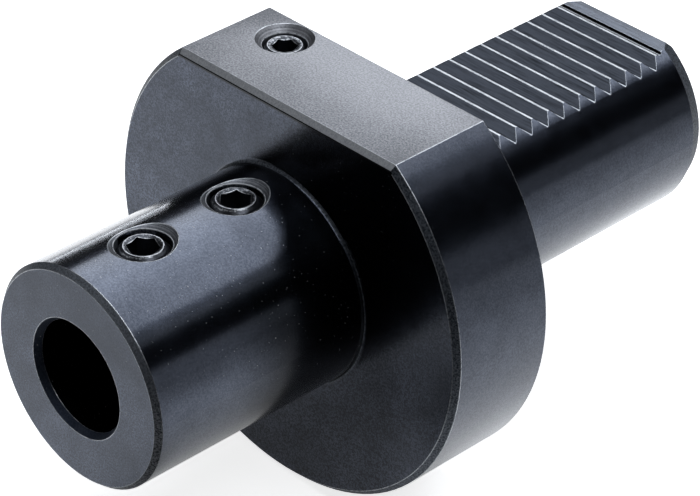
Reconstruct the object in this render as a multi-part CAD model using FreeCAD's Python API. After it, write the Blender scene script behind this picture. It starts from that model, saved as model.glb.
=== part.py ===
import FreeCAD, Part
import math
import os

# Holder for boring bars and drills with a round toothed shank, in millimetres.
# The holder's axis is Y: the nose points to -Y, the shank to +Y. The origin lies on that axis in the plane
# of the flange's contact face, and +Z is the side of the flange's flat, the clamp screws and the rack.

# Shank
shank_d = 40.0
shank_length = 64.2
shank_lead_length = 3.0
shank_lead_depth = 1.3

# Rack on the shank: 90 degree teeth across a flat, one flank of which is held to a set distance
# from the contact face
rack_height = 16.0
rack_datum = 29.7
rack_start = 14.5
tooth_pitch = 4.0
tooth_land = 0.45
tooth_root_radius = 0.4
end_strip_length = 4.2
end_strip_rise = 0.15
end_strip_relief = 0.13
end_strip_break = 1.0

# Flange
flange_d = 83.0
flange_thickness = 21.1
flange_flat_height = 32.7
flange_front_chamfer = 1.0
flange_rear_break = 0.15

# Seal in the corner between the shank and the contact face, in a groove that undercuts the shank
seal_groove_undercut = 0.4
seal_groove_width = 3.0
seal_groove_depth = 2.75
seal_clearance = 0.1
seal_corner = 0.8

# Nose and tool bore
nose_d = 40.0
nose_length = 45.25
nose_chamfer_length = 1.0
nose_chamfer_depth = 0.85
nose_root_radius = 0.8
bore_d = 20.0
bore_depth = 70.0
bore_mouth_length = 1.3
bore_mouth_depth = 0.8

# Passage behind the tool bore, and the screw plug that closes it at the end of the shank
passage_d = 12.0
end_plug_d = 16.0
end_plug_length = 12.0
end_plug_recess = 1.0
end_plug_turn = 20.0
end_plug_chamfer = 1.0
end_plug_key = 8.0
end_plug_key_depth = 6.0
end_plug_mouth_chamfer = 0.6

# Clamp screws in the top of the nose
clamp_screw_turns = [40.0, 15.0]
clamp_screw_heads = [19.15, 19.4]
clamp_screw_d = 9.6
clamp_screw_length = 8.0
clamp_screw_chamfer = 1.45
clamp_screw_tip_chamfer = 1.0
clamp_screw_key = 5.0
clamp_screw_key_depth = 4.0
clamp_first_from_face = 14.9
clamp_spacing = 20.0
clamp_sink_d = 12.2
clamp_sink_depth = 0.87

# Screw plug in the flange's flat, over the coolant channel
port_plug_d = 7.8
port_plug_length = 6.0
port_plug_chamfer = 0.9
port_plug_key = 4.0
port_plug_key_depth = 3.0
port_plug_recess = 1.0
port_plug_turn = 48.0
port_x = -16.0
port_from_contact = 5.5
port_mouth_d = 10.3
port_drill_d = 6.8
port_drill_bottom = 19.5

# Coolant inlet in the contact face, a wall away from the seal's groove, and the slanted channel from it
# to the tool bore
inlet_d = 6.0
inlet_depth = 2.0
inlet_wall = 2.1
channel_d = 4.5
channel_reach = 24.0
channel_bore_height = 7.0

# Screws run in their tapped holes with this much clearance all round
thread_clearance = 0.05

# Where the sizes above put the main planes
nose_root_y = -flange_thickness
nose_face_y = nose_root_y - nose_length
shank_r = shank_d / 2
nose_r = nose_d / 2
bore_end_y = nose_face_y + bore_depth
half_gap = (tooth_pitch - tooth_land) / 2
seal_groove_inner_r = shank_r - seal_groove_undercut
seal_groove_outer_r = seal_groove_inner_r + seal_groove_width
inlet_from_axis = seal_groove_outer_r + inlet_wall + inlet_d / 2
inlet_height = math.sqrt(inlet_from_axis ** 2 - port_x ** 2)
port_head_z = flange_flat_height - port_plug_recess
past = 1.0

Y_AXIS = FreeCAD.Vector(0, 1, 0)
Z_AXIS = FreeCAD.Vector(0, 0, 1)


def point(x, y, z):
    return FreeCAD.Vector(x, y, z)


def turned(profile):
    """Solid turned about the Y axis from a closed profile of (radius, y) corners."""
    corners = [point(r, y, 0) for r, y in profile]
    face = Part.Face(Part.makePolygon(corners + corners[:1]))
    return face.revolve(point(0, 0, 0), Y_AXIS, 360)


def upright_turned(profile, x, y):
    """Solid turned about an upright axis at x, y from a closed profile of (radius, z) corners."""
    corners = [point(x + r, y, z) for r, z in profile]
    face = Part.Face(Part.makePolygon(corners + corners[:1]))
    return face.revolve(point(x, y, 0), Z_AXIS, 360)


def hexagon(key, centre, turn, along):
    """Six-sided prism of the given width across flats, from centre along the vector along.
    One of its corners lies turn degrees round from +X."""
    reach = key / 2 / math.cos(math.radians(30))
    across = point(reach, 0, 0)
    side = along.cross(across)
    side.multiply(1 / along.Length)
    corners = []
    for k in range(6):
        angle = math.radians(turn + 60 * k)
        corners.append(centre + across * math.cos(angle) + side * math.sin(angle))
    return Part.Face(Part.makePolygon(corners + corners[:1])).extrude(along)


def edges_in_plane(shape, y):
    """Edges that lie wholly in the plane at y."""
    found = []
    for edge in shape.Edges:
        box = edge.BoundBox
        if abs(box.YMin - y) < 1e-4 and abs(box.YMax - y) < 1e-4:
            found.append(edge)
    return found


def flange():
    """Disc with one flat, chamfered round its front edges and barely broken round its rear ones."""
    disc = Part.makeCylinder(flange_d / 2, flange_thickness, point(0, nose_root_y, 0), Y_AXIS)
    slab = Part.makeBox(flange_d + 2 * past, flange_thickness + 2 * past, flange_d,
                        point(-flange_d / 2 - past, nose_root_y - past, flange_flat_height))
    disc = disc.cut(slab)
    disc = disc.makeChamfer(flange_front_chamfer, edges_in_plane(disc, nose_root_y))
    return disc.makeChamfer(flange_rear_break, edges_in_plane(disc, 0))


def nose():
    """Round nose with a chamfered front edge, reaching into the flange."""
    return turned([
        (0, nose_face_y),
        (nose_r - nose_chamfer_depth, nose_face_y),
        (nose_r, nose_face_y + nose_chamfer_length),
        (nose_r, nose_root_y + flange_thickness / 2),
        (0, nose_root_y + flange_thickness / 2),
    ])


def shank():
    """Round shank with a shallow lead at its end, from inside the flange to its end face. Its surface
    is divided where the full round stops at the foot of the rack."""
    return turned([
        (0, -flange_thickness / 2),
        (shank_r, -flange_thickness / 2),
        (shank_r, rack_foot_y()),
        (shank_r, shank_length - shank_lead_length),
        (shank_r - shank_lead_depth, shank_length),
        (0, shank_length),
    ])


def rack_roots():
    """Places along Y of the tooth gaps that have room between the start of the rack and the end strip."""
    first_free = rack_start + half_gap
    last_free = shank_length - end_strip_length - tooth_land - half_gap
    datum_root = rack_datum - tooth_pitch / 4
    lowest = math.ceil((first_free - datum_root) / tooth_pitch)
    highest = math.floor((last_free - datum_root) / tooth_pitch)
    return [datum_root + k * tooth_pitch for k in range(lowest, highest + 1)]


def rack_foot_y():
    """Where the slope in front of the first tooth gap comes down to the plane of the crests."""
    return rack_roots()[0] - half_gap


def rack_space():
    """All that the rack leaves free above its teeth: 90 degree gaps with rounded roots between narrow
    lands, a slope up to the round shank in front, and behind a raised strip beyond a shallow relief."""
    root_z = rack_height - half_gap
    flank = tooth_root_radius * math.sqrt(0.5)
    top_z = shank_r + past
    half_width = shank_r + past
    roots = rack_roots()
    strip_y = shank_length - end_strip_length
    strip_z = rack_height + end_strip_rise

    def at(y, z):
        return point(-half_width, y, z)

    slope_top = at(rack_foot_y() - (top_z - rack_height), top_z)
    edges = []
    last = slope_top
    for y in roots:
        gap_start = at(y - flank, root_z + flank)
        gap_end = at(y + flank, root_z + flank)
        bottom = at(y, root_z + tooth_root_radius * (math.sqrt(2) - 1))
        edges.append(Part.LineSegment(last, gap_start).toShape())
        edges.append(Part.Arc(gap_start, bottom, gap_end).toShape())
        last = at(y + half_gap, rack_height)
        edges.append(Part.LineSegment(gap_end, last).toShape())
        land_end = at(y + half_gap + tooth_land, rack_height)
        edges.append(Part.LineSegment(last, land_end).toShape())
        last = land_end
    outline = [
        last,
        last + point(0, end_strip_relief, -end_strip_relief),
        at(strip_y, rack_height - end_strip_relief),
        at(strip_y, strip_z),
        at(shank_length - end_strip_break, strip_z),
        at(shank_length + past, strip_z - end_strip_break - past),
        at(shank_length + past, top_z),
        slope_top,
    ]
    for start, end in zip(outline[:-1], outline[1:]):
        edges.append(Part.LineSegment(start, end).toShape())
    face = Part.Face(Part.Wire(Part.__sortEdges__(edges)))
    return face.extrude(point(2 * half_width, 0, 0))


def seal_groove():
    """Ring-shaped groove in the contact face, close round the shank and cut a little into it."""
    return turned([
        (seal_groove_inner_r, -seal_groove_depth),
        (seal_groove_outer_r, -seal_groove_depth),
        (seal_groove_outer_r, past),
        (shank_r, past),
        (shank_r, 0),
        (seal_groove_inner_r, 0),
    ])


def tool_bore():
    """Blind bore from the nose's face with a lead at its mouth, the passage behind it, and the tapped
    seat of the end plug."""
    seat_r = end_plug_d / 2 + thread_clearance
    seat_y = shank_length - end_plug_recess - end_plug_length
    mouth_slope = bore_mouth_depth / bore_mouth_length
    return turned([
        (0, nose_face_y - past),
        (bore_d / 2 + bore_mouth_depth + mouth_slope * past, nose_face_y - past),
        (bore_d / 2, nose_face_y + bore_mouth_length),
        (bore_d / 2, bore_end_y),
        (passage_d / 2, bore_end_y + (bore_d - passage_d) / 2),
        (passage_d / 2, seat_y),
        (seat_r, seat_y),
        (seat_r, shank_length - end_plug_mouth_chamfer),
        (seat_r + end_plug_mouth_chamfer + past, shank_length + past),
        (0, shank_length + past),
    ])


def clamp_screw_y(index):
    return nose_face_y + clamp_first_from_face + index * clamp_spacing


def clamp_hole(y):
    """Tapped hole from the top of the nose into the tool bore, with a wide countersink."""
    hole_r = clamp_screw_d / 2 + thread_clearance
    sink_r = clamp_sink_d / 2
    spread = (sink_r - hole_r) / clamp_sink_depth
    return upright_turned([
        (0, 0),
        (hole_r, 0),
        (hole_r, nose_r - clamp_sink_depth),
        (sink_r + past * spread, nose_r + past),
        (0, nose_r + past),
    ], 0, y)


def port_hole():
    """Countersunk tapped hole in the flange's flat, with the drilled channel below it."""
    hole_r = port_plug_d / 2 + thread_clearance
    mouth_depth = port_mouth_d / 2 - hole_r
    seat_z = port_head_z - port_plug_length
    drill_r = port_drill_d / 2
    return upright_turned([
        (0, port_drill_bottom - drill_r * math.tan(math.radians(31))),
        (drill_r, port_drill_bottom),
        (drill_r, seat_z),
        (hole_r, seat_z),
        (hole_r, flange_flat_height - mouth_depth),
        (port_mouth_d / 2 + past, flange_flat_height + past),
        (0, flange_flat_height + past),
    ], port_x, -port_from_contact)


def coolant_way():
    """Inlet drilled square into the contact face, then the slanted channel into the tool bore."""
    inlet = Part.makeCylinder(inlet_d / 2, inlet_depth + past, point(port_x, -inlet_depth, inlet_height), Y_AXIS)
    start = point(port_x, -inlet_depth, inlet_height)
    bore_x = -math.sqrt((bore_d / 2) ** 2 - channel_bore_height ** 2)
    way = point(bore_x, -inlet_depth - channel_reach, channel_bore_height) - start
    floor_to_mouth = way * (inlet_depth / channel_reach)
    channel = Part.makeCylinder(channel_d / 2, way.Length + channel_d, start - floor_to_mouth * 0.5, way)
    return inlet.fuse(channel)


def body():
    """The holder itself, turned and milled from one bar."""
    solid = flange().fuse(nose()).removeSplitter()
    root = [e for e in edges_in_plane(solid, nose_root_y) if abs(e.BoundBox.XMax - nose_r) < 1e-4]
    solid = solid.makeFillet(nose_root_radius, root).fuse(shank())
    cuts = [rack_space(), seal_groove(), tool_bore(), port_hole(), coolant_way()]
    cuts += [clamp_hole(clamp_screw_y(k)) for k in range(len(clamp_screw_turns))]
    for cut in cuts:
        solid = solid.cut(cut)
    return solid


def clamp_screw(y, head_z, turn):
    """Headless hexagon-socket screw, its socket up, in its tapped hole."""
    r = clamp_screw_d / 2
    tip_z = head_z - clamp_screw_length
    screw = upright_turned([
        (0, tip_z),
        (r - clamp_screw_tip_chamfer, tip_z),
        (r, tip_z + clamp_screw_tip_chamfer),
        (r, head_z - clamp_screw_chamfer),
        (r - clamp_screw_chamfer, head_z),
        (0, head_z),
    ], 0, y)
    socket = hexagon(clamp_screw_key, point(0, y, head_z - clamp_screw_key_depth), turn,
                     point(0, 0, clamp_screw_key_depth + past))
    return screw.cut(socket)


def port_plug():
    """Headless hexagon-socket screw that closes the port, seated on the end of its thread."""
    r = port_plug_d / 2
    foot_z = port_head_z - port_plug_length
    plug = upright_turned([
        (0, foot_z),
        (r, foot_z),
        (r, port_head_z - port_plug_chamfer),
        (r - port_plug_chamfer, port_head_z),
        (0, port_head_z),
    ], port_x, -port_from_contact)
    socket = hexagon(port_plug_key, point(port_x, -port_from_contact, port_head_z - port_plug_key_depth),
                     port_plug_turn, point(0, 0, port_plug_key_depth + past))
    return plug.cut(socket)


def end_plug():
    """Headless hexagon-socket plug that closes the passage at the end of the shank."""
    r = end_plug_d / 2
    head_y = shank_length - end_plug_recess
    plug = turned([
        (0, head_y - end_plug_length),
        (r, head_y - end_plug_length),
        (r, head_y - end_plug_chamfer),
        (r - end_plug_chamfer, head_y),
        (0, head_y),
    ])
    socket = hexagon(end_plug_key, point(0, head_y - end_plug_key_depth, 0), end_plug_turn,
                     point(0, end_plug_key_depth + past, 0))
    return plug.cut(socket)


def face_seal():
    """Rubber ring squeezed into its groove: flat towards the groove's walls, its floor and the turret,
    with sloping corners between."""
    inner_r = seal_groove_inner_r + seal_clearance
    outer_r = seal_groove_outer_r - seal_clearance
    low = -seal_groove_depth + seal_clearance
    high = -seal_clearance
    return turned([
        (inner_r + seal_corner, low),
        (outer_r - seal_corner, low),
        (outer_r, low + seal_corner),
        (outer_r, high - seal_corner),
        (outer_r - seal_corner, high),
        (inner_r + seal_corner, high),
        (inner_r, high - seal_corner),
        (inner_r, low + seal_corner),
    ])


pieces = {
    "holder_body": body(),
    "port_plug": port_plug(),
    "end_plug": end_plug(),
    "face_seal": face_seal(),
}
for index, name in enumerate(["clamp_screw_front", "clamp_screw_rear"]):
    pieces[name] = clamp_screw(clamp_screw_y(index), clamp_screw_heads[index], clamp_screw_turns[index])

os.makedirs("parts", exist_ok=True)
for name, shape in pieces.items():
    shape.exportStep("parts/" + name + ".step")
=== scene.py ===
import bpy
import math
import numpy as np
from mathutils import Matrix, Vector
from types import SimpleNamespace


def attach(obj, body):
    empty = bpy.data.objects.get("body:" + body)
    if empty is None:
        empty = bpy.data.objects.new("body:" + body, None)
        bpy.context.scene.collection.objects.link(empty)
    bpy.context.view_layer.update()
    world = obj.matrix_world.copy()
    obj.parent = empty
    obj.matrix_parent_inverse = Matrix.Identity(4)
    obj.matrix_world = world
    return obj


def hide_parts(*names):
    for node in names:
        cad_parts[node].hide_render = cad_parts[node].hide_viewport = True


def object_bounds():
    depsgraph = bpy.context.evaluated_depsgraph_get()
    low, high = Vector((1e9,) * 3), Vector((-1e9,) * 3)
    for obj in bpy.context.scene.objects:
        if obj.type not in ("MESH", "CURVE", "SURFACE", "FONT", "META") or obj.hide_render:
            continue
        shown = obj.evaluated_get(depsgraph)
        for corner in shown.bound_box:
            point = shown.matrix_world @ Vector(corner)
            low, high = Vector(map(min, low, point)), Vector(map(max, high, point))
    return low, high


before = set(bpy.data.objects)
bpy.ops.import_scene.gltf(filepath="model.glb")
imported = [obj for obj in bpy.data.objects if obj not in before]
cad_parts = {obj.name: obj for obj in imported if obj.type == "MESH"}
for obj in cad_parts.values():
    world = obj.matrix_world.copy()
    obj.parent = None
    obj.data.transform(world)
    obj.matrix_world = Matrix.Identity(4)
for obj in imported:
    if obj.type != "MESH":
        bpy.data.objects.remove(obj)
cad_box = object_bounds()

# Camera, at the photograph's viewing angle: from the right, in front and above, with a long lens, and
# turned a hair about its own line of sight.
view_azimuth = math.radians(45.619)
view_elevation = math.radians(33.422)
view_roll = math.radians(0.822)
view_distance = 0.582254
view_across = -0.003655
view_up = -0.003764
sensor_width = 36.0
picture_width = 700
focal_pixels = 3375.894

look_back = Vector((
    math.sin(view_azimuth) * math.cos(view_elevation),
    -math.cos(view_azimuth) * math.cos(view_elevation),
    math.sin(view_elevation),
))
level_right = (-look_back).cross(Vector((0, 0, 1))).normalized()
level_up = level_right.cross(-look_back)
camera_right = level_right * math.cos(view_roll) + level_up * math.sin(view_roll)
camera_up = level_up * math.cos(view_roll) - level_right * math.sin(view_roll)
camera_place = camera_right * view_across + camera_up * view_up + look_back * view_distance

camera_data = bpy.data.cameras.new("camera")
camera_data.sensor_width = sensor_width
camera_data.lens = focal_pixels / picture_width * sensor_width
camera_data.clip_start = 0.01
camera = bpy.data.objects.new("camera", camera_data)
camera.matrix_world = Matrix.Translation(camera_place) @ Matrix((
    (camera_right.x, camera_up.x, look_back.x),
    (camera_right.y, camera_up.y, look_back.y),
    (camera_right.z, camera_up.z, look_back.z),
)).to_4x4()
bpy.context.scene.collection.objects.link(camera)
bpy.context.scene.camera = camera
bpy.context.scene.view_settings.view_transform = "Standard"


# Studio: a white table under the holder in a dark room, with a long soft lamp over its back, one
# overhead, and weak ones over the left and the right, at the front left and low on both sides.
def new_material(name):
    material = bpy.data.materials.new(name)
    material.use_nodes = True
    material.node_tree.nodes.clear()
    return material, material.node_tree.nodes, material.node_tree.links


def set_socket(tree, socket, value):
    """Links the output of another node to a socket, or sets a plain value on it."""
    if isinstance(value, bpy.types.NodeSocket):
        tree.links.new(value, socket)
    else:
        socket.default_value = value


def arithmetic(tree, operation, *values, clamp=False):
    node = tree.nodes.new("ShaderNodeMath")
    node.operation = operation
    node.use_clamp = clamp
    for socket, value in zip(node.inputs, values):
        set_socket(tree, socket, value)
    return node.outputs[0]


def times(tree, product, *factors):
    for factor in factors:
        product = arithmetic(tree, "MULTIPLY", product, factor)
    return product


def most(tree, greatest, *values):
    for value in values:
        greatest = arithmetic(tree, "MAXIMUM", greatest, value)
    return greatest


def scaled(tree, value, factor, offset):
    """The value times a factor, plus an offset."""
    return arithmetic(tree, "MULTIPLY_ADD", value, factor, offset)


def rising(tree, value, start, end):
    """0 before start and 1 beyond end, with a smooth step between them."""
    node = tree.nodes.new("ShaderNodeMapRange")
    node.interpolation_type = "SMOOTHSTEP"
    tree.links.new(value, node.inputs["Value"])
    node.inputs["From Min"].default_value = start
    node.inputs["From Max"].default_value = end
    return node.outputs["Result"]


# Painted shades on the table, seen only in mirror-like faces, stand in for the holder's shadow and a
# dimmer floor: how much each darkens, and over which stretches it comes on. A stretch is a direction
# from the holder's middle, a start and an end, and a shade lies where all its stretches do.
painted_table_shades = {
    "behind": (0.95, [((-0.25, 0.97, 0), 0.16, 0.60)]),
    "front_right": (0.96, [((0.20, -0.98, 0), 0.040, 0.064), ((1, 0, 0), -0.012, 0.020)]),
    "before_holder": (0.30, [((0, -1, 0), 0.042, 0.052), ((1, 0, 0), -0.022, -0.010)]),
    "right": (0.46, [((0.8, 0.6, 0), 0.02, 0.26)]),
    "far_left": (0.90, [((-0.8, -0.6, 0), 0.20, 0.55)]),
}
# Painted light: towards the left, mirror-like faces see more glow on the table.
brighter_left = ((-0.81, 0.584, 0), -0.05, 0.25)


def table_paper(paper_white, glow_seen, glow_mirrored, glow_left):
    """Matt white with a little glow. Only mirror-like faces see its painted shades, and they see more of its
    glow towards the left, a painted light."""
    material, nodes, links = new_material("white_table")
    tree = material.node_tree
    place = nodes.new("ShaderNodeTexCoord")

    def towards(direction, start, end):
        """0 before start and 1 beyond end, along one direction from the holder's middle."""
        reach = nodes.new("ShaderNodeVectorMath")
        reach.operation = "DOT_PRODUCT"
        reach.inputs[1].default_value = direction
        links.new(place.outputs["Object"], reach.inputs[0])
        return rising(tree, reach.outputs["Value"], start, end)

    rays = nodes.new("ShaderNodeLightPath")
    mirrored = most(tree, rays.outputs["Is Glossy Ray"], rays.outputs["Is Transmission Ray"])
    light = 1.0
    for depth, stretches in painted_table_shades.values():
        shade = times(tree, *[towards(*stretch) for stretch in stretches])
        light = times(tree, light, scaled(tree, shade, -depth, 1.0))
    seen_light = scaled(tree, mirrored, arithmetic(tree, "SUBTRACT", light, 1.0), 1.0)
    paper = nodes.new("ShaderNodeBsdfDiffuse")
    links.new(times(tree, seen_light, paper_white), paper.inputs["Color"])
    left_glow = scaled(tree, towards(*brighter_left), glow_left - glow_mirrored, glow_mirrored)
    mirrored_glow = times(tree, mirrored, light, left_glow)
    glow = nodes.new("ShaderNodeEmission")
    links.new(scaled(tree, rays.outputs["Is Camera Ray"], glow_seen, mirrored_glow),
              glow.inputs["Strength"])
    add = nodes.new("ShaderNodeAddShader")
    links.new(paper.outputs[0], add.inputs[0])
    links.new(glow.outputs[0], add.inputs[1])
    out = nodes.new("ShaderNodeOutputMaterial")
    links.new(add.outputs[0], out.inputs["Surface"])
    return material


def table_sheet(left, right, front, back, height):
    """Rectangle of four corners at one height."""
    points = np.array([[left, front], [right, front], [right, back], [left, back]])
    points = np.column_stack([points, np.full(4, height)])
    mesh = bpy.data.meshes.new("table")
    mesh.from_pydata(points.tolist(), [], [(0, 1, 2, 3)])
    return mesh


table = bpy.data.objects.new("table", table_sheet(left=-3.4, right=2.2, front=-2.8, back=2.8,
                                                  height=cad_box[0][2]))
table.data.materials.append(table_paper(paper_white=0.92, glow_seen=0.78, glow_mirrored=0.22,
                                        glow_left=0.75))
bpy.context.scene.collection.objects.link(table)


def soft_lamp(name, place, across, up, power):
    """Rectangular lamp at place, turned towards the holder. Its size across is its level one."""
    data = bpy.data.lights.new(name, "AREA")
    data.shape = "RECTANGLE"
    data.size = across
    data.size_y = up
    data.energy = power
    data.color = (0.915, 0.95, 1.0)
    lamp = bpy.data.objects.new(name, data)
    lamp.location = place
    lamp.rotation_euler = Vector(place).to_track_quat("Z", "Y").to_euler()
    lamp.visible_camera = False
    bpy.context.scene.collection.objects.link(lamp)
    return lamp


soft_lamp("lamp_over_back", place=(-0.37, 1.38, 1.63), across=3.20, up=1.28, power=31.0)
soft_lamp("lamp_over_left", place=(-0.96, 1.38, 1.57), across=1.12, up=1.28, power=2.0)
soft_lamp("lamp_overhead", place=(0.45, 0.0, 1.81), across=0.80, up=2.40, power=23.0)
soft_lamp("lamp_front_left", place=(-1.28, -1.17, 1.23), across=1.28, up=1.28, power=2.8)
soft_lamp("lamp_low_left", place=(-2.08, 1.52, 0.008), across=1.0, up=0.14, power=2.2)
soft_lamp("lamp_low_back_right", place=(1.35, 1.30, 0.15), across=0.62, up=0.38, power=0.15)
soft_lamp("lamp_low_right", place=(1.69, 0.82, 0.22), across=0.62, up=0.52, power=0.50)
soft_lamp("lamp_over_right", place=(1.260, 1.217, 1.490), across=0.64, up=0.47, power=0.42)


def dark_room(dark, seen):
    """Surroundings that are dark to the holder and white to the camera."""
    room = bpy.data.worlds.new("room")
    room.use_nodes = True
    tree = room.node_tree
    tree.nodes.clear()
    out = tree.nodes.new("ShaderNodeOutputWorld")
    choice = tree.nodes.new("ShaderNodeMixShader")
    rays = tree.nodes.new("ShaderNodeLightPath")
    tree.links.new(rays.outputs["Is Camera Ray"], choice.inputs[0])
    for socket, brightness in ((choice.inputs[1], dark), (choice.inputs[2], seen)):
        background = tree.nodes.new("ShaderNodeBackground")
        background.inputs["Color"].default_value = (brightness, brightness, brightness, 1)
        tree.links.new(background.outputs[0], socket)
    tree.links.new(choice.outputs[0], out.inputs["Surface"])
    return room


bpy.context.scene.world = dark_room(dark=0.006, seen=1.0)


# Holder: one bar of steel, turned and milled, then blackened and oiled. The cutters leave each face its
# own grain, the flat is matt and sandy, and handling wears the edges bright.
flat_height = 0.0327
flat_chamfer_foot = flat_height - 0.0011
flange_front = -0.0211
flange_rim_radius = 0.0415
nose_radius = 0.020
# Limits that part the flange's front from the nose's, the nose's chamfer from the flange's, and the
# outer chamfers from the bore's.
flange_front_limit = -0.030
nose_chamfer_limit = -0.050
outer_chamfer_limit = 0.015
clamp_screw_places = [-0.05145, -0.03145]
clamp_hole_radius = 0.00485
sink_foot_height = 0.01913
sink_rise = 0.696
sink_top = 0.0206
port_place = (-0.016, -0.0055)
port_mouth_radius = 0.00515
port_hole_radius = 0.00395
port_foot_height = 0.0315
rack_start = 0.0145
rack_foot_height = 0.0130
relief_start = 0.0590
relief_middle = relief_start + 0.00056
relief_half_width = 0.00052
relief_line_place = relief_start + 0.0004
lead_start = 0.0605

oiled_black = (0.010, 0.015, 0.026, 1)
oiled_light = (0.060, 0.073, 0.106, 1)
thin_black = (0.017, 0.024, 0.038, 1)
thin_light = (0.087, 0.102, 0.143, 1)
rack_light = (0.104, 0.121, 0.158, 1)
sandy_black = (0.106, 0.110, 0.122, 1)
sandy_light = (0.364, 0.370, 0.394, 1)
cutter_black = (0.050, 0.055, 0.065, 1)
cutter_light = (0.240, 0.250, 0.272, 1)
flat_chamfer_black = (0.34, 0.35, 0.37, 1)
flat_chamfer_light = (0.46, 0.47, 0.49, 1)
flange_chamfer_black = (0.030, 0.036, 0.046, 1)
flange_chamfer_light = (0.160, 0.175, 0.200, 1)
nose_chamfer_black = (0.090, 0.098, 0.112, 1)
nose_chamfer_light = (0.190, 0.205, 0.230, 1)
# Bright colour for a painted highlight low on the nose's chamfer.
nose_chamfer_painted_light = (0.700, 0.720, 0.760, 1)
# Black for painted shade.
painted_shade_black = (0.004, 0.005, 0.007, 1)
dust_grey = (0.30, 0.30, 0.30, 1)
bare_steel = (0.56, 0.58, 0.61, 1)


def mixed_colour(tree, share, plain, other):
    """The plain colour where share is 0, and the other one where it is 1."""
    node = tree.nodes.new("ShaderNodeMix")
    node.data_type = "RGBA"
    set_socket(tree, node.inputs[0], share)
    set_socket(tree, node.inputs[6], plain)
    set_socket(tree, node.inputs[7], other)
    return node.outputs[2]


def mixed_number(tree, share, plain, other):
    """The plain number where share is 0, and the other one where it is 1."""
    node = tree.nodes.new("ShaderNodeMix")
    node.data_type = "FLOAT"
    set_socket(tree, node.inputs[0], share)
    set_socket(tree, node.inputs[2], plain)
    set_socket(tree, node.inputs[3], other)
    return node.outputs[0]


def covered(tree, mixed, bottom, *layers):
    """The bottom colour or number under layers, each a share and the colour or number that it lays on."""
    for share, laid_on in layers:
        bottom = mixed(tree, share, bottom, laid_on)
    return bottom


def rest_of(tree, share):
    return arithmetic(tree, "SUBTRACT", 1.0, share)


def below(tree, value, limit):
    return arithmetic(tree, "LESS_THAN", value, limit)


def above(tree, value, limit):
    return arithmetic(tree, "GREATER_THAN", value, limit)


def near(tree, value, middle, reach):
    """1 where the value is within reach of the middle, and 0 elsewhere."""
    return arithmetic(tree, "COMPARE", value, middle, reach)


def grain(tree, vector, scale, detail=2.0, roughness=0.5):
    """Cloudy noise between 0 and 1."""
    node = tree.nodes.new("ShaderNodeTexNoise")
    node.inputs["Scale"].default_value = scale
    node.inputs["Detail"].default_value = detail
    node.inputs["Roughness"].default_value = roughness
    tree.links.new(vector, node.inputs["Vector"])
    return node.outputs[0]


def joined(tree, x, y, z):
    """Vector of three numbers, each one given or taken from another node."""
    node = tree.nodes.new("ShaderNodeCombineXYZ")
    for socket, value in zip(node.inputs, (x, y, z)):
        set_socket(tree, socket, value)
    return node.outputs[0]


def parted(tree, vector):
    node = tree.nodes.new("ShaderNodeSeparateXYZ")
    tree.links.new(vector, node.inputs[0])
    return node.outputs


def distance_from(tree, across, along, axis):
    """Distance from an axis, seen along it: the root of the sum of the two squared offsets."""
    across = arithmetic(tree, "SUBTRACT", across, axis[0])
    along = arithmetic(tree, "SUBTRACT", along, axis[1])
    return arithmetic(tree, "SQRT", scaled(tree, across, across, times(tree, along, along)))


def holder_place(tree, point):
    """Where a point of the holder is: its coordinates, its distance from the shank's axis, from the nearer
    clamp screw's axis and from the port's, and the height that the countersink has there."""
    x, y, z = parted(tree, point)
    at = SimpleNamespace(point=point, x=x, y=y, z=z)
    at.radius = distance_from(tree, x, z, (0, 0))
    at.port_distance = distance_from(tree, x, y, port_place)
    at.screw_distance = arithmetic(tree, "MINIMUM", *[
        distance_from(tree, x, y, (0, place)) for place in clamp_screw_places])
    at.sink_height = scaled(tree, arithmetic(tree, "SUBTRACT", at.screw_distance, clamp_hole_radius),
                            sink_rise, sink_foot_height)
    return at


def holder_faces(tree, at, normal):
    """How far a point lies on each kind of face, from 0 to 1. It is found from the place, and from how much
    the face looks along the shank, sideways or up."""
    facing_x, facing_y, facing_up = parted(tree, normal)
    sideways = arithmetic(tree, "ABSOLUTE", facing_x)
    along = arithmetic(tree, "ABSOLUTE", facing_y)
    near_flat = rising(tree, at.z, flat_height - 0.0012, flat_height - 0.0009)
    on = SimpleNamespace()
    on.flat = times(tree, near_flat, rising(tree, facing_up, 0.93, 0.97))
    on.flat_chamfer = times(tree, near_flat, rising(tree, facing_up, 0.62, 0.66),
                            rising(tree, along, 0.60, 0.65))
    on.under_flat_chamfer = times(tree, near(tree, at.y, flange_front, 0.00012),
                                  near(tree, at.z, flat_chamfer_foot, 0.00025))
    on.rack = times(tree, below(tree, sideways, 0.06),
                    rising(tree, at.y, rack_start, rack_start + 0.0002),
                    rising(tree, at.z, rack_foot_height, rack_foot_height + 0.0005))
    on.tooth_crests = times(tree, below(tree, at.y, relief_start), on.rack,
                            rising(tree, facing_up, 0.97, 0.99))
    on.tooth_ends = times(tree, above(tree, at.y, rack_start),
                          rising(tree, arithmetic(tree, "ABSOLUTE", at.x), 0.0115, 0.0119))
    on.relief = times(tree, on.rack, near(tree, at.y, relief_middle, relief_half_width))
    on.front = rising(tree, times(tree, facing_y, -1.0), 0.9, 0.95)
    on.chamfer = times(tree, rest_of(tree, on.rack), rising(tree, along, 0.25, 0.35),
                       below(tree, along, 0.9))
    on.outer_chamfer = times(tree, on.chamfer, above(tree, at.radius, outer_chamfer_limit))
    on.nose_end = below(tree, at.y, nose_chamfer_limit)
    on.port = times(tree, below(tree, at.port_distance, port_mouth_radius),
                    rising(tree, at.z, 0.030, 0.0305))
    sink = times(tree, near(tree, at.z, at.sink_height, 0.00008), below(tree, at.z, sink_top))
    on.cutter_marks = most(tree, sink, on.port)
    return on


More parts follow.
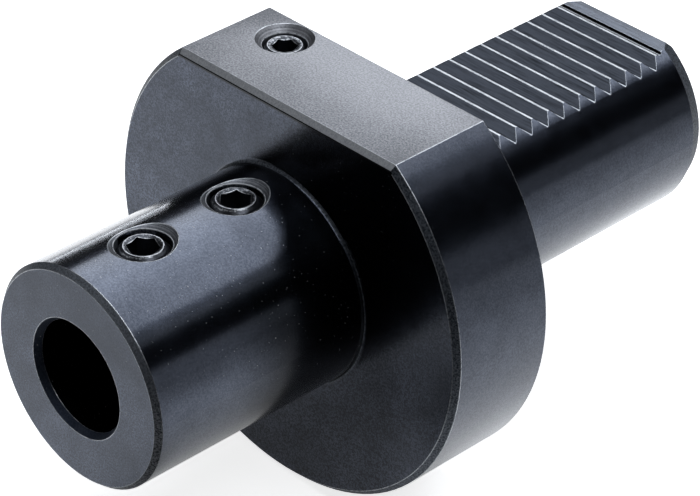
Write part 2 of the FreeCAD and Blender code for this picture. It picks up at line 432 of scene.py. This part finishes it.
def steel_grains(tree, at):
    """What turning, milling and countersinking leave on the steel, then sand, clouds and patches, and
    specks of dust, of which fewer lie behind the flange's front."""
    round_x = times(tree, arithmetic(tree, "DIVIDE", at.x, at.radius), 7.0)
    round_z = times(tree, arithmetic(tree, "DIVIDE", at.z, at.radius), 7.0)
    feed = times(tree, scaled(tree, at.y, 0.7, at.radius), 5200.0)
    cutter_distance = arithmetic(tree, "MINIMUM", at.port_distance, at.screw_distance)
    few_behind = scaled(tree, rising(tree, at.y, -0.026, -0.018), -0.7, 1.0)
    return SimpleNamespace(
        turning=grain(tree, joined(tree, feed, round_x, round_z), 1.0, 3.0, 0.6),
        milling=grain(tree, joined(tree, times(tree, at.x, 160.0), times(tree, at.y, 5600.0),
                                   times(tree, at.z, 5600.0)), 1.0, 3.0, 0.6),
        rings=grain(tree, joined(tree, times(tree, cutter_distance, 4200.0), 0.0, 0.0), 1.0, 2.0, 0.6),
        sand=grain(tree, at.point, 2600.0, 3.0, 0.7),
        fine_sand=rising(tree, grain(tree, at.point, 3000.0, 3.0, 0.7), 0.36, 0.64),
        clouds=grain(tree, at.point, 260.0, 4.0, 0.6),
        patches=grain(tree, at.point, 110.0, 3.0, 0.6),
        dust=times(tree, rising(tree, grain(tree, at.point, 3200.0, 1.0, 0.5), 0.75, 0.80), few_behind),
    )


def cut_surface(tree, on, grains, edge_normal):
    """Normal of the steel with the marks of the cutters and the sand pressed into it."""
    marks = covered(tree, mixed_number, grains.turning, (on.rack, grains.milling),
                    (on.cutter_marks, grains.rings))
    marks_depth = covered(tree, mixed_number, 0.16, (on.front, 0.45), (on.flat, 0.0),
                          (on.cutter_marks, 2.0))
    sand_depth = covered(tree, mixed_number, 0.02, (on.front, 0.16), (on.flat, 2.0))
    bump = tree.nodes.new("ShaderNodeBump")
    bump.inputs["Strength"].default_value = 1.0
    bump.inputs["Distance"].default_value = 0.00002
    tree.links.new(scaled(tree, grains.sand, sand_depth, times(tree, marks, marks_depth)),
                   bump.inputs["Height"])
    tree.links.new(edge_normal, bump.inputs["Normal"])
    return bump.outputs[0]


def rounded_normal(tree, width):
    """Normal of the surface with its edges rounded off over a width."""
    rounded = tree.nodes.new("ShaderNodeBevel")
    rounded.samples = 8
    rounded.inputs["Radius"].default_value = width
    return rounded.outputs[0]


def sharp_edges(tree, edge_normal, start, end):
    """1 on sharp edges and 0 away from them: how far a normal that is rounded near edges turns away from
    the face's own."""
    face = tree.nodes.new("ShaderNodeNewGeometry")
    dot = tree.nodes.new("ShaderNodeVectorMath")
    dot.operation = "DOT_PRODUCT"
    tree.links.new(edge_normal, dot.inputs[0])
    tree.links.new(face.outputs["Normal"], dot.inputs[1])
    return rising(tree, rest_of(tree, dot.outputs["Value"]), start, end)


def bare_places(tree, at, on, edge_normal):
    """How far the blackening is worn off: in patches along sharp edges, less on the teeth's ends and not
    on the shank's end strip or under the flat's chamfer, then on the crests of the teeth, and on a thin
    line in the relief."""
    edges = times(tree, sharp_edges(tree, edge_normal, 0.005, 0.020),
                  rising(tree, grain(tree, at.point, 1700.0, 3.0, 0.6), 0.20, 0.58),
                  below(tree, at.y, lead_start),
                  scaled(tree, on.tooth_ends, -0.5, 1.0),
                  rest_of(tree, on.under_flat_chamfer))
    crest_wear = scaled(tree, rising(tree, grain(tree, at.point, 420.0), 0.35, 0.6), 0.40, 0.55)
    worn = most(tree, edges, times(tree, on.tooth_crests, crest_wear))
    relief_line = times(tree, on.relief, near(tree, at.y, relief_line_place, 0.0001))
    return mixed_number(tree, on.relief, worn, times(tree, relief_line, 0.55))


def hole_edges(tree, at):
    """The bright turned-over edges of the tapped holes, at the feet of their countersinks."""
    screw_edge = times(tree, near(tree, at.screw_distance, clamp_hole_radius, 0.00011),
                       near(tree, at.z, sink_foot_height, 0.00016))
    port_edge = times(tree, near(tree, at.port_distance, port_hole_radius, 0.00009),
                      near(tree, at.z, port_foot_height, 0.00016))
    return times(tree, most(tree, screw_edge, port_edge),
                 rising(tree, grain(tree, at.point, 1400.0), 0.30, 0.50))


def painted_shade_places(tree, at, on, grains):
    """Painted shade: colour darkened in place of shade and dark reflections, on the right part of the
    flange's front, on the nose near the flange, most of all low down, and along the top of the flange's rim."""
    right_of_nose = rising(tree, arithmetic(tree, "SUBTRACT", at.x, at.z), -0.029, -0.024)
    flange_depth = scaled(tree, rising(tree, at.z, 0.010, 0.020), 0.38,
                          scaled(tree, grains.fine_sand, -0.30, 0.62))
    flange_face = times(tree, on.front, above(tree, at.y, flange_front_limit), right_of_nose,
                        flange_depth, scaled(tree, rising(tree, at.x, 0.023, 0.033), -0.80, 1.0))
    nose_foot = times(tree, rising(tree, at.y, -0.052, -0.037), below(tree, at.y, flange_front - 0.0002),
                      scaled(tree, rising(tree, at.z, 0.004, 0.020), -0.92, 0.92))
    nose_ring = times(tree, rising(tree, at.y, -0.041, -0.035), rising(tree, at.y, -0.031, -0.034), 0.25)
    rim_top = times(tree, above(tree, at.radius, flange_rim_radius - 0.001), above(tree, at.x, 0.0),
                    rising(tree, at.z, 0.0285, 0.0320), 0.34)
    return most(tree, flange_face, rim_top, nose_foot, nose_ring)


def blackened_colour(tree, at, on, grains):
    """Blue-black with lighter grains between, which follow the milling on the rack. Fewer light grains on
    the flange's front beside the nose are painted shade. The outer chamfers are greyer, with a painted
    highlight low on the nose."""
    thinner = rising(tree, grains.clouds, 0.30, 0.72)
    black = mixed_colour(tree, thinner, oiled_black, thin_black)
    light = mixed_colour(tree, thinner, oiled_light, thin_light)
    light = mixed_colour(tree, on.rack, light, rack_light)
    front_share = times(tree, grains.fine_sand, scaled(tree, grains.patches, 1.6, 0.12))
    light_share = mixed_number(tree, on.front, scaled(tree, grains.fine_sand, 0.30, 0.35), front_share)
    # Painted shade: fewer light grains on the flange's front close beside the nose.
    painted_shade_beside_nose = times(tree, on.front, rising(tree, at.z, 0.002, 0.010),
                        scaled(tree, rising(tree, at.radius, nose_radius, 0.032), -0.36, 0.52))
    light_share = times(tree, light_share, rest_of(tree, painted_shade_beside_nose))
    light_share = mixed_number(tree, on.rack, light_share, rising(tree, grains.milling, 0.30, 0.56))
    chamfer_black = mixed_colour(tree, on.nose_end, flange_chamfer_black, nose_chamfer_black)
    # Painted highlight: the nose's chamfer turns brighter lower down.
    chamfer_light = mixed_colour(tree, rising(tree, at.z, 0.010, -0.004), nose_chamfer_light,
                                 nose_chamfer_painted_light)
    chamfer_light = mixed_colour(tree, on.nose_end, flange_chamfer_light, chamfer_light)
    chamfer_colour = mixed_colour(tree, grains.fine_sand, chamfer_black, chamfer_light)
    return covered(tree, mixed_colour, black, (light_share, light), (on.outer_chamfer, chamfer_colour))


def flat_colour(tree, at, grains):
    """Sandy grey, lighter towards the back, and darker towards both sides and in the rear left corner."""
    share = scaled(tree, grains.patches, 0.35, -0.15)
    for place, start, end, change in (
            (at.y, -0.021, -0.003, 0.50),
            (at.x, 0.012, 0.028, -0.28),
            (at.x, -0.014, -0.026, -0.16),
            (arithmetic(tree, "SUBTRACT", at.y, at.x), 0.009, 0.024, -0.60)):
        share = scaled(tree, rising(tree, place, start, end), change, share)
    share = arithmetic(tree, "MULTIPLY_ADD", grains.fine_sand, 0.55, share, clamp=True)
    return mixed_colour(tree, share, sandy_black, sandy_light)


def countersink_colour(tree, on, grains):
    """Rings of light and dark left by the cutter, lighter in the port, whose cone lies in the sandy flat."""
    share = scaled(tree, rising(tree, grains.rings, 0.36, 0.64), 0.70, times(tree, grains.fine_sand, 0.30))
    return covered(tree, mixed_colour, mixed_colour(tree, share, cutter_black, cutter_light),
                   (on.port, mixed_colour(tree, share, sandy_black, sandy_light)))


def blackened_steel():
    material, nodes, links = new_material("blackened_steel")
    tree = material.node_tree
    coordinates = nodes.new("ShaderNodeTexCoord")
    at = holder_place(tree, coordinates.outputs["Object"])
    on = holder_faces(tree, at, coordinates.outputs["Normal"])
    grains = steel_grains(tree, at)
    edge_normal = rounded_normal(tree, 0.00022)
    bare = bare_places(tree, at, on, edge_normal)
    burr = hole_edges(tree, at)
    # Painted shade: places coloured darker in place of the shade and dark reflections there.
    painted_shade = painted_shade_places(tree, at, on, grains)
    normal = cut_surface(tree, on, grains, edge_normal)

    colour = covered(
        tree, mixed_colour, blackened_colour(tree, at, on, grains),
        # Painted shade in black on the flange's front right, the nose near the flange and the rim's top.
        (painted_shade, painted_shade_black),
        (on.flat, flat_colour(tree, at, grains)),
        (on.flat_chamfer, mixed_colour(tree, grains.fine_sand, flat_chamfer_black, flat_chamfer_light)),
        (on.cutter_marks, countersink_colour(tree, on, grains)),
        # Painted shadow: the relief's floor and a thin line under the flat's chamfer are black for the shade
        # in them.
        (on.relief, painted_shade_black),
        (on.under_flat_chamfer, painted_shade_black),
        (bare, bare_steel),
        (burr, bare_steel),
        (grains.dust, dust_grey),
    )
    matness = mixed_number(tree, grains.clouds, mixed_number(tree, on.front, 0.17, 0.21),
                           mixed_number(tree, on.front, 0.25, 0.29))
    matness = covered(tree, mixed_number, matness, (on.chamfer, 0.62), (on.flat, 0.42),
                      (on.cutter_marks, 0.50), (bare, 0.30))
    oil = mixed_number(tree, grains.fine_sand, 0.62, 1.0)
    oil = covered(tree, mixed_number, oil, (on.front, 0.62), (on.flat, 0.2), (on.chamfer, 0.1))
    # The coat is thinner where shade is painted, so those places stay dark.
    oil = times(tree, oil, scaled(tree, painted_shade, -0.8, 1.0))
    oil = covered(tree, mixed_number, oil, (most(tree, on.relief, on.cutter_marks), 0.05), (bare, 0.0))

    steel = nodes.new("ShaderNodeBsdfPrincipled")
    steel.inputs["Coat Roughness"].default_value = 0.16
    links.new(rest_of(tree, most(tree, grains.dust, burr)), steel.inputs["Metallic"])
    links.new(colour, steel.inputs["Base Color"])
    links.new(matness, steel.inputs["Roughness"])
    links.new(oil, steel.inputs["Coat Weight"])
    links.new(normal, steel.inputs["Normal"])
    links.new(normal, steel.inputs["Coat Normal"])
    out = nodes.new("ShaderNodeOutputMaterial")
    links.new(steel.outputs[0], out.inputs["Surface"])
    return material


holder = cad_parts["holder_body"]
holder.data.materials.clear()
holder.data.materials.append(blackened_steel())


# Clamp screws: two headless screws of hardened steel, black all over, in tapped holes in the top of the
# nose. The key has worn a ragged bright ring round each socket.
clamp_screw_heads = [0.01915, 0.0194]
clamp_screw_turns = [40.0, 15.0]
socket_lead = 0.00025
points_round = 96
rows_per_turn = 12
ring_rows_of_head = slice(4, 7)
outer_edge_of_head = 7


def set_screw_rows(radius, pitch, thread_depth, length, chamfer, tip_chamfer, key, key_depth, turn):
    """Rows of points round a headless screw whose head is at 0 and whose tip is at -length, and how bare
    each point is. The socket's radius at an angle is half the key over the cosine of the angle from the
    middle of that side. The thread's radius falls from its crest to its root and back once for each
    pitch, shifted by the angle, and both ends are cut to a cone."""
    angle = np.radians(turn) + np.arange(points_round) * (2 * np.pi / points_round)
    from_side = np.mod(angle - np.radians(turn), np.pi / 3) - np.pi / 6
    hexagon = key / 2 / np.cos(from_side)
    lead_radius = key / math.sqrt(3) + socket_lead
    face_radius = radius - chamfer
    flat = np.zeros(points_round)

    socket_rows = [
        (hexagon * 0.5, flat - key_depth - key * 0.08, 0.0),
        (hexagon, flat - key_depth, 0.0),
        (hexagon, (hexagon - lead_radius) * 0.58 - 0.00006, 0.0),
        (hexagon, (hexagon - lead_radius) * 0.58, 0.80),
        (hexagon * 0.72 + lead_radius * 0.28, (hexagon - lead_radius) * 0.42, 0.38),
        (flat + lead_radius, flat, 0.54),
        (flat + face_radius - 0.00014, flat, 0.49),
        (flat + face_radius, flat, 1.0),
    ]
    step = pitch / rows_per_turn
    height = -np.arange(step / 2, length, step)[:, None]
    phase = np.mod(height / pitch - angle / (2 * np.pi), 1.0)
    from_root = np.abs(phase - 0.5) * 2
    thread = radius - thread_depth + thread_depth * np.clip((from_root - 0.125) / 0.75, 0, 1)
    head_cone = face_radius - height
    tip_cone = radius - tip_chamfer + (height + length)
    thread_radius = np.minimum(np.minimum(thread, head_cone), tip_cone)
    worn_crests = (from_root > 0.8) & (height > -1.3 * chamfer)
    thread_rows = list(zip(thread_radius, height + flat[None, :], np.where(worn_crests, 0.62, 0.20)))
    tip_rows = [(flat + radius - tip_chamfer, flat - length, 0.0), (flat + radius * 0.4, flat - length, 0.0)]

    radii, heights, bareness = (np.stack([flat + part for part in parts])
                                for parts in zip(*socket_rows, *thread_rows, *tip_rows))
    return np.stack([radii * np.cos(angle), radii * np.sin(angle), heights], axis=2), bareness


def closed_rows(name, rows, bareness, place, across, along):
    """Mesh of rows of points joined by four-sided faces, its two ends closed to a point in the middle of
    the first and last row. Rows are laid out on the directions across, their cross product and along."""
    count, round_count = rows.shape[:2]
    directions = np.stack([across, np.cross(along, across), along])
    flat_rows = rows.reshape(-1, 3) @ directions + np.array(place)
    first = rows[0].mean(axis=0) @ directions + np.array(place)
    last = rows[-1].mean(axis=0) @ directions + np.array(place)
    points = np.vstack([flat_rows, first, last])
    index = np.arange(count * round_count).reshape(count, round_count)
    after = np.roll(index, -1, axis=1)
    walls = np.stack([index[:-1], index[1:], after[1:], after[:-1]], axis=2).reshape(-1, 4)
    first_fan = np.stack([np.full(round_count, len(points) - 2), index[0], after[0]], axis=1)
    last_fan = np.stack([np.full(round_count, len(points) - 1), after[-1], index[-1]], axis=1)
    mesh = bpy.data.meshes.new(name)
    mesh.from_pydata(points.tolist(), [], walls.tolist() + first_fan.tolist() + last_fan.tolist())
    bare = np.concatenate([bareness.ravel(), bareness[0, :1], bareness[-1, :1]])
    mesh.attributes.new("bare", "FLOAT", "POINT").data.foreach_set("value", bare)
    mesh.shade_smooth()
    mesh.set_sharp_from_angle(angle=math.radians(32))
    piece = bpy.data.objects.new(name, mesh)
    bpy.context.scene.collection.objects.link(piece)
    return piece


def screw_steel(name, bare_share):
    """Black screw steel, bright where the piece's own attribute says that it is bare, with torn edges."""
    material, nodes, links = new_material(name)
    tree = material.node_tree
    place = nodes.new("ShaderNodeTexCoord")
    marked = nodes.new("ShaderNodeAttribute")
    marked.attribute_name = "bare"
    torn = grain(tree, place.outputs["Object"], 2400.0, 3.0, 0.65)
    fine = grain(tree, place.outputs["Object"], 5200.0, 2.0, 0.6)
    torn_mark = scaled(tree, arithmetic(tree, "SUBTRACT", torn, 0.5), 1.1, marked.outputs["Fac"])
    bare = times(tree, rising(tree, torn_mark, 0.45, 0.85), bare_share)
    black = mixed_colour(tree, torn, (0.022, 0.024, 0.029, 1), (0.110, 0.116, 0.132, 1))
    bump = nodes.new("ShaderNodeBump")
    bump.inputs["Strength"].default_value = 1.0
    bump.inputs["Distance"].default_value = 0.00002
    links.new(scaled(tree, torn, 1.4, fine), bump.inputs["Height"])
    steel = nodes.new("ShaderNodeBsdfPrincipled")
    steel.inputs["Metallic"].default_value = 1.0
    links.new(mixed_colour(tree, bare, black, bare_steel), steel.inputs["Base Color"])
    links.new(mixed_number(tree, bare, 0.34, 0.38), steel.inputs["Roughness"])
    links.new(bump.outputs[0], steel.inputs["Normal"])
    out = nodes.new("ShaderNodeOutputMaterial")
    links.new(steel.outputs[0], out.inputs["Surface"])
    return material


worn_screw_steel = screw_steel("worn_screw_steel", bare_share=1.0)
for name, body, place_y, head_z, turn in zip(
        ["clamp_screw_front", "clamp_screw_rear"], ["front_screw", "rear_screw"],
        clamp_screw_places, clamp_screw_heads, clamp_screw_turns):
    rows, bareness = set_screw_rows(
        radius=0.00478, pitch=0.0015, thread_depth=0.00080, length=0.0080, chamfer=0.00143,
        tip_chamfer=0.0010, key=0.0050, key_depth=0.0040, turn=turn)
    clamp_screw = closed_rows(name + "_threaded", rows, bareness, place=(0, place_y, head_z),
                              across=(1, 0, 0), along=(0, 0, 1))
    clamp_screw.data.materials.append(worn_screw_steel)
    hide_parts(name)
    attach(clamp_screw, body)


# Port plug: a small headless screw turned down hard into the countersunk hole in the flat, where it
# closes the coolant channel. Its socket's edge is burred and bright.
rows, bareness = set_screw_rows(
    radius=0.00388, pitch=0.00125, thread_depth=0.00066, length=0.0060, chamfer=0.00088,
    tip_chamfer=0.0006, key=0.0040, key_depth=0.0030, turn=48.0)
bareness[ring_rows_of_head] += 0.05
port_plug = closed_rows("port_plug_threaded", rows, bareness, place=(*port_place, port_foot_height),
                        across=(1, 0, 0), along=(0, 0, 1))
port_plug.data.materials.append(worn_screw_steel)
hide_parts("port_plug")
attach(port_plug, "holder")


# End plug: a larger headless screw that closes the passage at the end of the shank. It is turned in once
# and stays there, so only the edges of its socket and of its face are bright.
rows, bareness = set_screw_rows(
    radius=0.00798, pitch=0.0015, thread_depth=0.00080, length=0.0120, chamfer=0.0010,
    tip_chamfer=0.0010, key=0.0080, key_depth=0.0060, turn=20.0)
bareness[ring_rows_of_head] = 0.0
bareness[outer_edge_of_head] = 0.6
end_plug = closed_rows("end_plug_threaded", rows, bareness, place=(0, 0.0632, 0),
                       across=(0, 0, 1), along=(0, 1, 0))
end_plug.data.materials.append(screw_steel("plug_steel", bare_share=0.5))
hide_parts("end_plug")
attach(end_plug, "holder")


# Face seal: a moulded rubber ring, squeezed into the groove round the shank and flush with the contact
# face, where it keeps coolant out of the shank's bore.
def ring_rows(middle_radius, middle_height, half_width, half_height, squareness, round_count,
              section_count):
    """Closed ring about Y. Its section is the curve on which the squareness-th powers of the two
    distances from its middle, each over its half size, add up to 1."""
    turn = np.arange(round_count)[:, None] * (2 * np.pi / round_count)
    t = np.arange(section_count)[None, :] * (2 * np.pi / section_count)
    out_by = half_width * np.sign(np.cos(t)) * np.abs(np.cos(t)) ** (2 / squareness)
    up_by = half_height * np.sign(np.sin(t)) * np.abs(np.sin(t)) ** (2 / squareness)
    reach = middle_radius + out_by
    level = middle_height + up_by
    return np.stack([reach * np.sin(turn), level + 0 * turn, reach * np.cos(turn)], axis=2)


def ring_mesh(name, points):
    """Mesh of a grid of points that closes on itself both ways, in four-sided faces."""
    index = np.arange(points.shape[0] * points.shape[1]).reshape(points.shape[:2])
    next_row = np.roll(index, -1, axis=0)
    faces = np.stack([index, np.roll(index, -1, axis=1), np.roll(next_row, -1, axis=1), next_row], axis=2)
    mesh = bpy.data.meshes.new(name)
    mesh.from_pydata(points.reshape(-1, 3).tolist(), [], faces.reshape(-1, 4).tolist())
    mesh.shade_smooth()
    return mesh


def seal_rubber():
    """Near-black rubber with cloudy gloss and fine pores."""
    material, nodes, links = new_material("seal_rubber")
    tree = material.node_tree
    place = nodes.new("ShaderNodeTexCoord")
    clouds = grain(tree, place.outputs["Object"], 420.0, 4.0, 0.6)
    pores = grain(tree, place.outputs["Object"], 3600.0, 2.0, 0.6)
    bump = nodes.new("ShaderNodeBump")
    bump.inputs["Distance"].default_value = 0.00003
    links.new(pores, bump.inputs["Height"])
    rubber = nodes.new("ShaderNodeBsdfPrincipled")
    rubber.inputs["Specular IOR Level"].default_value = 0.4
    links.new(mixed_colour(tree, clouds, (0.010, 0.010, 0.011, 1), (0.028, 0.028, 0.030, 1)),
              rubber.inputs["Base Color"])
    links.new(mixed_number(tree, clouds, 0.42, 0.60), rubber.inputs["Roughness"])
    links.new(bump.outputs[0], rubber.inputs["Normal"])
    out = nodes.new("ShaderNodeOutputMaterial")
    links.new(rubber.outputs[0], out.inputs["Surface"])
    return material


seal_points = ring_rows(middle_radius=0.0211, middle_height=-0.001375, half_width=0.0014,
                        half_height=0.001275, squareness=2.3, round_count=180, section_count=28)
face_seal = bpy.data.objects.new("face_seal_ring", ring_mesh("face_seal_ring", seal_points))
bpy.context.scene.collection.objects.link(face_seal)
face_seal.data.materials.append(seal_rubber())
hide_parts("face_seal")
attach(face_seal, "holder")
